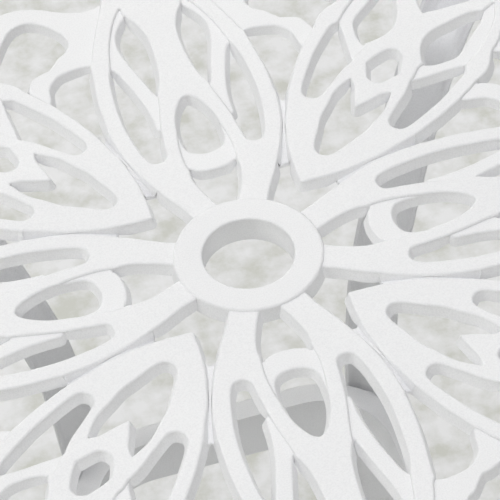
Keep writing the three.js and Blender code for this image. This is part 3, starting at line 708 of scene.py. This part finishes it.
def rosette(bm):
    """The pierced plate with its faces, rounded edges and leaning walls.

    Returns the shading normals of its vertices, and those of the walls' own corners.
    """
    rings, first_lowered, first_web = plate_rings()
    edges = regions(rings, [], first_lowered, first_web)[3]
    extra = [v for kind in "ulw" for v in edges[kind].offsets(ROUND_ROWS)]
    points, level, sides, edges = regions(rings, extra, first_lowered, first_web)
    face_z = {"u": FACE_Z * MM, "l": (FACE_Z - STEP) * MM, "b": PLATE_Z * MM}
    radii = {"u": EDGE_R * MM, "l": EDGE_R * MM, "w": WEB_R * MM, "b": UNDER_R * MM}
    drafts = edges["b"].drafts(DRAFT * MM)
    verts, normals = {}, {}

    def vert(i, kind):
        """Vertex over point i on one of the four faces."""
        if (i, kind) in verts:
            return verts[i, kind]
        v = points[i]
        radius = radii[kind]
        sign = -1 if kind == "b" else 1
        z, normal = web_face(v) if kind == "w" else (face_z[kind], Vector((0, 0, sign)))
        distance, away = edges[kind].inset(i)
        if kind == "b" and i in drafts:
            v = v - away * drafts[i]
        if kind == "w":
            v = v + web_lean(edges["wall"], i, z)
        made = bm.verts.new((v.x / MM, v.y / MM, (z - sign * drop(distance, radius)) / MM))
        if distance < radius and away.length > 1e-9:
            flat = (radius - distance) / radius
            away = away.normalized() * flat
            normal = normal * math.sqrt(1 - flat * flat) - Vector((away.x, away.y, 0))
        normals[made] = normal.normalized()
        verts[i, kind] = made
        return made

    for tri, lv in level.items():
        bm.faces.new([vert(i, lv) for i in tri])
        bm.faces.new([vert(i, "b") for i in reversed(tri)])
    present = {(i, lv) for tri, lv in level.items() for i in tri}
    walls = {}
    for (a, b), lv in sides.items():
        low, high = FACES_UP.index(sides.get((b, a), "b")), FACES_UP.index(lv)
        if low >= high:
            continue
        between = FACES_UP[low + 1:high]
        columns = [[vert(i, FACES_UP[low]), *(vert(i, k) for k in between if (i, k) in present),
                    vert(i, lv)] for i in (a, b)]
        face = bm.faces.new(columns[0][::-1] + columns[1])
        tilt = math.tan(WALL_LEAN) if FACES_UP[low] in "bw" else 0.0
        walls[face] = {}
        for i, column in zip((a, b), columns):
            out = edges[lv].wall_normal(i, (a, b))
            walls[face].update(dict.fromkeys(column, Vector((out.x, out.y, tilt)).normalized()))
    return normals, walls


def rosette_object():
    bm = bmesh.new()
    normals, walls = rosette(bm)
    loops = [walls.get(face, normals)[v] for face in bm.faces for v in face.verts]
    mesh = bpy.data.meshes.new("cast_top")
    bm.to_mesh(mesh)
    bm.free()
    mesh.shade_smooth()
    mesh.normals_split_custom_set(loops)
    obj = bpy.data.objects.new("cast_top", mesh)
    bpy.context.scene.collection.objects.link(obj)
    mesh.materials.append(COAT)
    return obj


def cast_top():
    obj = rosette_object()
    bm = bmesh.new()
    hub = rounded([(HOLE_R, COLLAR_UNDER), (COLLAR_R, COLLAR_UNDER), (COLLAR_R, HUB_UNDER),
                   (HUB_R + DRAFT, HUB_UNDER), (HUB_R, TABLE_H), (HOLE_R, TABLE_H)],
                  [0.0008, 0.0008, 0.0005, 0.0008, 0.0016, 0.0011], 5)
    lathe(bm, hub, 128)
    rim = rounded([(RIM_IN, PLATE_Z), (TOP_R - LIP_T, PLATE_Z), (TOP_R - LIP_T, FACE_Z - LIP_H),
                   (TOP_R, FACE_Z - LIP_H), (TOP_R, FACE_Z), (RIM_IN, FACE_Z)],
                  [0, 0.002, 0.0012, 0.0015, 0.0035, 0], 6)
    lathe(bm, rim, 256)
    boss = rounded([(0, PLATE_Z - BOSS_H), (BOSS_R, PLATE_Z - BOSS_H),
                    (BOSS_R + BOSS_DRAFT, PLATE_Z + SUNK), (0, PLATE_Z + SUNK)],
                   [0, 0.0008, 0, 0], 3)
    for turn in CORNERS.values():
        for side in (-1, 1):
            lathe(bm, boss, 32, Matrix.Rotation(turn, 4, "Z")
                  @ Matrix.Translation((BOLT_R, side * SPREAD, 0)))
    turned = new_object("cast_top_turned", bm, COAT, 40)
    weighted(turned)
    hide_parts("table_top")
    for o in (obj, turned):
        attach(o, "frame")


# ---------- legs ----------

# the leg's line, in shares of its reach outward and of its height above and below the waist
UPPER_LINE = [
    (1.04, 1.0), (0.93, 0.995), (0.76, 0.977), (0.607, 0.93), (0.457, 0.846), (0.339, 0.755),
    (0.173, 0.583), (0.065, 0.432), (0.013, 0.23), (0.002, 0.06)]
LOWER_LINE = [
    (0.0, 0.13), (0.02, 0.26), (0.10, 0.42), (0.25, 0.58), (0.46, 0.73), (0.70, 0.87),
    (0.92, 0.985)]
# half of the channel's section: across, outward, and the corner's rounding
LEG_HALF_SECTION = [
    (LEG_BACK / 2, LEG_D, 0.004), (LEG_W / 2, LEG_EDGE, 0.0012), (LEG_W / 2, 0, 0.0007),
    (LEG_W / 2 - LEG_RIM, 0, 0.0008), (*LEG_SHOULDER, 0.004), (*LEG_TROUGH, 0.003)]
LEG_SECTION = LEG_HALF_SECTION + [(-a, o, r) for a, o, r in LEG_HALF_SECTION[::-1]]


def leg_path():
    up, down = PAD_TOP - BRACE_MID, BRACE_MID - LEG_FOOT_Z
    points = [(WAIST + out * (BOLT_R - WAIST), 0, BRACE_MID + rise * up)
              for out, rise in UPPER_LINE]
    points += [(WAIST + out * (FOOT_S - WAIST), 0, BRACE_MID - fall * down)
               for out, fall in LOWER_LINE]
    return catmull(points, False, LEG_STEP)


def leg_bar(bm, place):
    """The channel, swept along the leg's line."""
    section = rounded([(a, o) for a, o, _ in LEG_SECTION], [r for _, _, r in LEG_SECTION])
    path = leg_path()
    rows = []
    for i, p in enumerate(path):
        t = (path[min(i + 1, len(path) - 1)] - path[max(i - 1, 0)]).normalized()
        out = Vector((-t.z, 0, t.x))
        rows.append([bm.verts.new(place @ (p + out * o + Vector((0, a, 0)))) for a, o in section])
    skin(bm, rows)


def pad_outline():
    """Two half rounds joined by straight sides, across the leg."""
    r = PAD_W / 2
    middle = SPREAD + PAD_END - r
    ring = []
    for start, y in ((0, middle), (math.pi, -middle)):
        for k in range(17):
            t = start + math.pi * k / 16
            ring.append(Vector((r * math.cos(t), y + r * math.sin(t))))
    return ring


def leg(name, turn):
    bm = bmesh.new()
    place = Matrix.Rotation(turn, 4, "Z")
    leg_bar(bm, place)
    prism(bm, pad_outline(), PAD_TOP - PAD_T, PAD_TOP, PAD_EDGE,
          place @ Matrix.Translation((BOLT_R, 0, 0)))
    boss = rounded([(0, BRACE_REACH + GAP), (BRACE_BOSS_R, BRACE_REACH + GAP),
                    (BRACE_BOSS_R, BRACE_BOSS_END), (0, BRACE_BOSS_END)],
                   [0, 0.0005, 0.0008, 0], 3)
    lathe(bm, boss, 40, place @ Matrix.Translation((0, 0, BRACE_MID)) @ LYING)
    foot = rounded([(0, LEG_FOOT_Z), (FOOT_R, LEG_FOOT_Z), (FOOT_R, LEG_FOOT_Z + FOOT_H),
                    (0, LEG_FOOT_Z + FOOT_H)], [0, 0.0015, 0.004, 0], 6)
    lathe(bm, foot, 64, place @ Matrix.Translation((FOOT_S, 0, 0)))
    obj = new_object(f"cast_leg_{name}", bm, COAT, 40)
    weighted(obj)
    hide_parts(f"leg_{name}")
    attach(obj, "frame")


# ---------- brace hoop ----------

def brace():
    """Bar of a rounded section bent round a square with large corners."""
    bm = bmesh.new()
    section = rounded([(-BRACE_BAR, -BRACE_H), (0, -BRACE_H), (0, 0), (-BRACE_BAR, 0)], 0.0022, 5)
    mid = BRACE_HALF - BRACE_CORNER
    rows = []
    for quarter, centre in enumerate(((mid, mid), (-mid, mid), (-mid, -mid), (mid, -mid))):
        for k in range(19):
            t = quarter * math.pi / 2 + math.pi / 2 * k / 18
            out = Vector((math.cos(t), math.sin(t)))
            rows.append([bm.verts.new((*(Vector(centre) + out * (BRACE_CORNER + o)), BRACE_TOP + h))
                         for o, h in section])
    skin(bm, rows, closed=True)
    obj = new_object("brace_hoop", bm, COAT, 40)
    weighted(obj)
    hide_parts("brace_ring")
    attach(obj, "frame")


# ---------- fasteners ----------

def hexagon():
    r = HEX_ACROSS / 2 / math.cos(math.pi / 6)
    return [Vector((r * math.cos(math.pi * k / 3), r * math.sin(math.pi * k / 3)))
            for k in range(6)]


def threaded(bottom, start, end, root):
    """Profile of a rod from its bottom to its end, with a thread from the start on."""
    profile = [(0, bottom), (SHANK_R, bottom)]
    z = start
    while z < end - PITCH:
        profile += [(SHANK_R, z), (root, z + PITCH / 2), (SHANK_R, z + PITCH)]
        z += PITCH
    return profile + [(TIP_R, end), (0, end)]


def bolt(bm, place, length):
    """Hexagon bolt with the underside of its head at height zero."""
    prism(bm, hexagon(), -HEAD_H, 0, HEX_EDGE, place, 2)
    lathe(bm, threaded(-HEAD_H / 2, 2 * PITCH, length, BOLT_ROOT), 24, place)


def washer(bm, place):
    profile = [(WASHER_IN, 0), (WASHER_OUT, 0), (WASHER_OUT, WASHER_T), (WASHER_IN, WASHER_T)]
    lathe(bm, rounded(profile, 0.0003, 2), 40, place)


def nut(bm, place):
    """Hexagon nut with a domed cap."""
    prism(bm, hexagon(), 0, NUT_H, HEX_EDGE, place, 2)
    turns = [math.pi / 2 * k / 8 for k in range(8)]
    dome = [(0, NUT_H - SUNK), (DOME_R, NUT_H - SUNK)]
    dome += [(DOME_R * math.cos(t), NUT_H + DOME_H * math.sin(t)) for t in turns]
    lathe(bm, dome + [(0, NUT_H + DOME_H)], 32, place)


def fastener(name, shape, place, *sizes):
    bm = bmesh.new()
    shape(bm, place, *sizes)
    obj = new_object(f"{name}_fine", bm, ZINC, 30)
    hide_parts(name)
    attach(obj, "frame")


def fasteners():
    washer_z = PAD_TOP - PAD_T - GAP - WASHER_T
    top_length = PLATE_Z - BOSS_H + TOP_BOLT_IN - washer_z + GAP
    head_s = BRACE_SPOTFACE - GAP - WASHER_T
    nut_s = BRACE_BOSS_END + GAP + WASHER_T
    brace_length = nut_s + NUT_H - GAP - head_s - GAP
    for corner, turn in CORNERS.items():
        rot = Matrix.Rotation(turn, 4, "Z")
        for letter, side in (("a", 1), ("b", -1)):
            seat = rot @ Matrix.Translation((BOLT_R, side * SPREAD, washer_z))
            head = rot @ Matrix.Translation((BOLT_R, side * SPREAD, washer_z - GAP))
            fastener(f"top_washer_{corner}_{letter}", washer, seat)
            fastener(f"top_bolt_{corner}_{letter}", bolt, head, top_length)

        def lying(s):
            return rot @ Matrix.Translation((s, 0, BRACE_MID)) @ LYING

        fastener(f"brace_washer_{corner}", washer, lying(head_s))
        fastener(f"brace_bolt_{corner}", bolt, lying(head_s - GAP), brace_length)
        fastener(f"brace_nut_washer_{corner}", washer, lying(BRACE_BOSS_END + GAP))
        fastener(f"brace_nut_{corner}", nut, lying(nut_s + GAP))


def glides():
    body = rounded([(0, 0), (GLIDE_R - GLIDE_TAPER, 0), (GLIDE_R, GLIDE_EDGE), (GLIDE_R, GLIDE_H),
                    (0, GLIDE_H)], [0, 0.0015, 0.002, 0.001, 0], 5)
    stem = threaded(GLIDE_H - SUNK, GLIDE_H, GLIDE_H + GLIDE_STEM, STEM_ROOT)
    for corner, turn in CORNERS.items():
        bm = bmesh.new()
        place = Matrix.Rotation(turn, 4, "Z") @ Matrix.Translation((FOOT_S, 0, 0))
        lathe(bm, body, 64, place)
        lathe(bm, stem, 24, place)
        obj = new_object(f"glide_{corner}_fine", bm, NYLON)
        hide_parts(f"glide_{corner}")
        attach(obj, f"glide_{corner}")


cast_top()
for corner, angle in CORNERS.items():
    leg(corner, angle)
brace()
fasteners()
glides()


# ---------- stage ----------

BACKDROP = (1.0, 1.0, 0.96, 1)
BACKDROP_LEVEL = 0.66
SKY_LEVEL = 0.04  # of the world's light on the object
FLOOR_R = 9
FADE_START, FADE_END = 1.3, 2.8  # metres from the middle, where the stone passes into the backdrop
STONE = [(0.34, (0.645, 0.65, 0.61)), (0.48, (0.765, 0.768, 0.765)), (0.62, (0.855, 0.857, 0.872))]
LAMP_AIM = (0, 0, 0.5)
LAMPS = [  # place, diameter, watts, colour
    ("overhead", (0, 0, 6.2), 6.0, 180, (0.97, 0.965, 1)),
    ("front", (-0.5, -2.6, 2.2), 1.8, 22, (1, 1, 0.93)),
    ("back", (0.5, 2.6, 2.2), 1.8, 31, (1, 1, 0.92)),
    ("left", (-2.6, 0.5, 2.2), 1.8, 34, (1, 1, 0.96)),
    ("right", (2.6, -0.5, 2.2), 1.8, 12, (1, 1, 0.98))]


def seen_ray(tree):
    """Is 1 on rays that show the backdrop: the camera's, and those reflected or let through."""
    ray = tree.nodes.new("ShaderNodeLightPath")
    seen = ray.outputs["Is Camera Ray"]
    for kind in ("Is Glossy Ray", "Is Transmission Ray"):
        either = tree.nodes.new("ShaderNodeMath")
        either.operation = "MAXIMUM"
        tree.links.new(seen, either.inputs[0])
        tree.links.new(ray.outputs[kind], either.inputs[1])
        seen = either.outputs["Value"]
    return seen


def floor():
    """Mottled stone round the table, which passes into the plain backdrop further out."""
    mat, tree, shader, coords = nodes_of("pale_stone")
    tone = ramp(tree, noise(tree, coords, 34, 5, 0.6), STONE)
    tree.links.new(tone, shader.inputs["Base Color"])
    shader.inputs["Roughness"].default_value = 0.9
    shader.inputs["Specular IOR Level"].default_value = 0.1
    away = tree.nodes.new("ShaderNodeVectorMath")
    away.operation = "LENGTH"
    tree.links.new(coords.outputs["Object"], away.inputs[0])
    fade = tree.nodes.new("ShaderNodeMapRange")
    fade.interpolation_type = "SMOOTHSTEP"
    fade.inputs["From Min"].default_value = FADE_START
    fade.inputs["From Max"].default_value = FADE_END
    tree.links.new(away.outputs["Value"], fade.inputs["Value"])
    share = tree.nodes.new("ShaderNodeMath")
    share.operation = "MULTIPLY"
    tree.links.new(fade.outputs["Result"], share.inputs[0])
    tree.links.new(seen_ray(tree), share.inputs[1])
    plain = tree.nodes.new("ShaderNodeEmission")
    plain.inputs["Color"].default_value = BACKDROP
    plain.inputs["Strength"].default_value = BACKDROP_LEVEL
    mix = tree.nodes.new("ShaderNodeMixShader")
    tree.links.new(share.outputs["Value"], mix.inputs["Fac"])
    tree.links.new(shader.outputs["BSDF"], mix.inputs[1])
    tree.links.new(plain.outputs["Emission"], mix.inputs[2])
    tree.links.new(mix.outputs["Shader"], tree.nodes["Material Output"].inputs["Surface"])
    bm = bmesh.new()
    bmesh.ops.create_circle(bm, cap_ends=True, segments=64, radius=FLOOR_R)
    new_object("floor", bm, mat)


def soft_sky():
    """World that shows the backdrop's colour and gives the object only a little light."""
    world = bpy.data.worlds.new("soft_sky")
    bpy.context.scene.world = world
    world.use_nodes = True
    tree = world.node_tree
    sky = tree.nodes["Background"]
    sky.inputs["Color"].default_value = BACKDROP
    level = tree.nodes.new("ShaderNodeMapRange")
    level.inputs["To Min"].default_value = SKY_LEVEL
    level.inputs["To Max"].default_value = BACKDROP_LEVEL
    tree.links.new(seen_ray(tree), level.inputs["Value"])
    tree.links.new(level.outputs["Result"], sky.inputs["Strength"])


def disk_lamp(name, position, size, power, colour):
    data = bpy.data.lights.new(name, "AREA")
    data.shape = "DISK"
    data.size = size
    data.energy = power
    data.color = colour
    obj = bpy.data.objects.new(name, data)
    bpy.context.scene.collection.objects.link(obj)
    obj.location = position
    aim = Vector(LAMP_AIM) - Vector(position)
    obj.rotation_euler = aim.to_track_quat("-Z", "Y").to_euler()


floor()
soft_sky()
for lamp in LAMPS:
    disk_lamp(*lamp)


# ---------- camera, solved from the photograph ----------

PHOTO_W = 500
FOCAL_PX = 2410.023
AZIMUTH, ELEVATION, ROLL = (math.radians(v) for v in (-13.053, 48.114, -4.190))
AIM = Vector((0.001264, 0.002177, FACE_Z))
DISTANCE = 1.044295
SENSOR_W = 36


def photo_camera():
    back = Vector((math.sin(AZIMUTH) * math.cos(ELEVATION),
                   -math.cos(AZIMUTH) * math.cos(ELEVATION), math.sin(ELEVATION)))
    right = (-back).cross(Vector((0, 0, 1))).normalized()
    up = right.cross(-back)
    rolled_right = right * math.cos(ROLL) + up * math.sin(ROLL)
    rolled_up = up * math.cos(ROLL) - right * math.sin(ROLL)
    data = bpy.data.cameras.new("camera")
    data.sensor_width = SENSOR_W
    data.lens = FOCAL_PX / PHOTO_W * SENSOR_W
    data.clip_start = 0.01
    camera = bpy.data.objects.new("camera", data)
    bpy.context.scene.collection.objects.link(camera)
    pose = Matrix((rolled_right, rolled_up, back)).transposed().to_4x4()
    pose.translation = AIM + back * DISTANCE
    camera.matrix_world = pose
    bpy.context.scene.camera = camera


photo_camera()
bpy.context.scene.view_settings.view_transform = "Standard"
